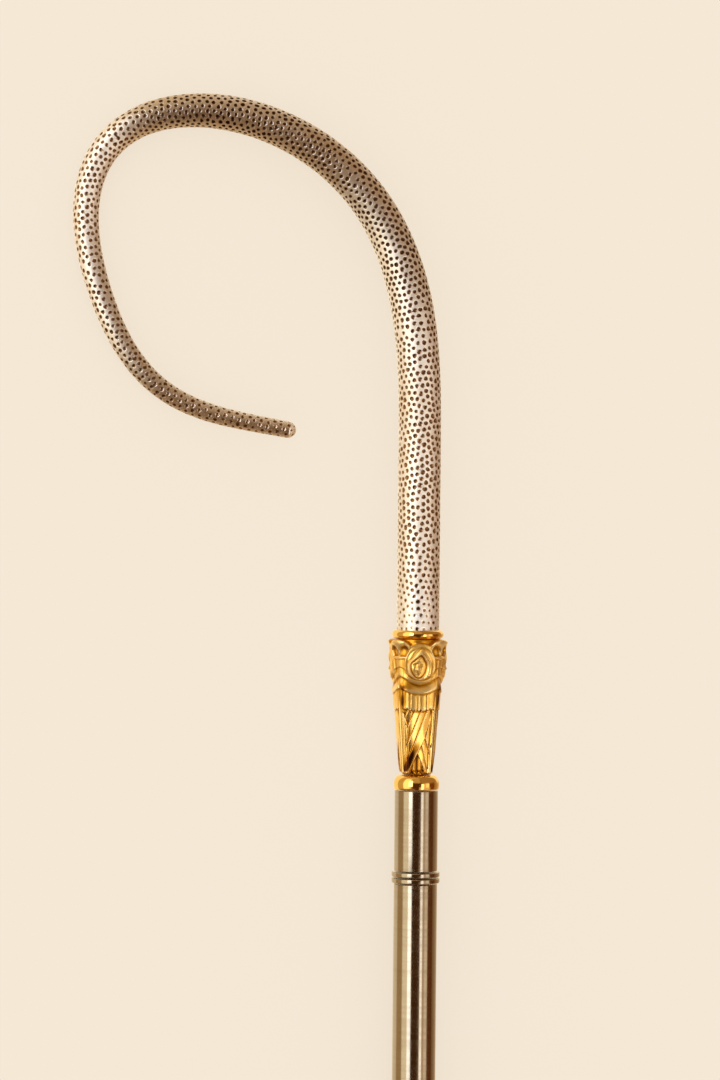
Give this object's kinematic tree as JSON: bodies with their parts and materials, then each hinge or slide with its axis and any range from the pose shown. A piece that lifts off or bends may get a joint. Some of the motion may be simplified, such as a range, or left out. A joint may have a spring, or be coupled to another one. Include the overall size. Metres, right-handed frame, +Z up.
{
  "type": "bishop crosier",
  "caption": "Crosier with a pitted silver crook bent to an open hook, a carved gilt knop with angels between bead rings, and a sectional steel staff with flanged joints.",
  "frame": {"origin": "centre of the bounding box in X and Y, on the surface that the crosier lies on", "axes": "+Y along the staff from foot to crook, +Z up from the surface, hook towards -X"},
  "size_m": [0.2172, 1.8544, 0.0337],
  "materials": {
    "silver": "warm white silver, hammered with small round pits that are oxidised dark brown",
    "gilt_satin": "cast and chased bronze, satin gold plate, darker in the recesses",
    "gilt_polished": "mirror polished gold plate",
    "steel_satin": "stainless steel, fine turned satin finish"
  },
  "bodies": {
    "root": {"crook": "silver", "upper_ring": "gilt_polished", "angel_knop": "gilt_satin", "lower_ring": "gilt_polished", "head_tube": "steel_satin", "head_flange": "steel_satin", "staff_flange": "steel_satin", "upper_staff_tube": "steel_satin", "middle_flange_upper": "steel_satin", "middle_flange_lower": "steel_satin", "lower_staff_tube": "steel_satin", "foot_ferrule": "steel_satin"}
  },
  "joints": []
}
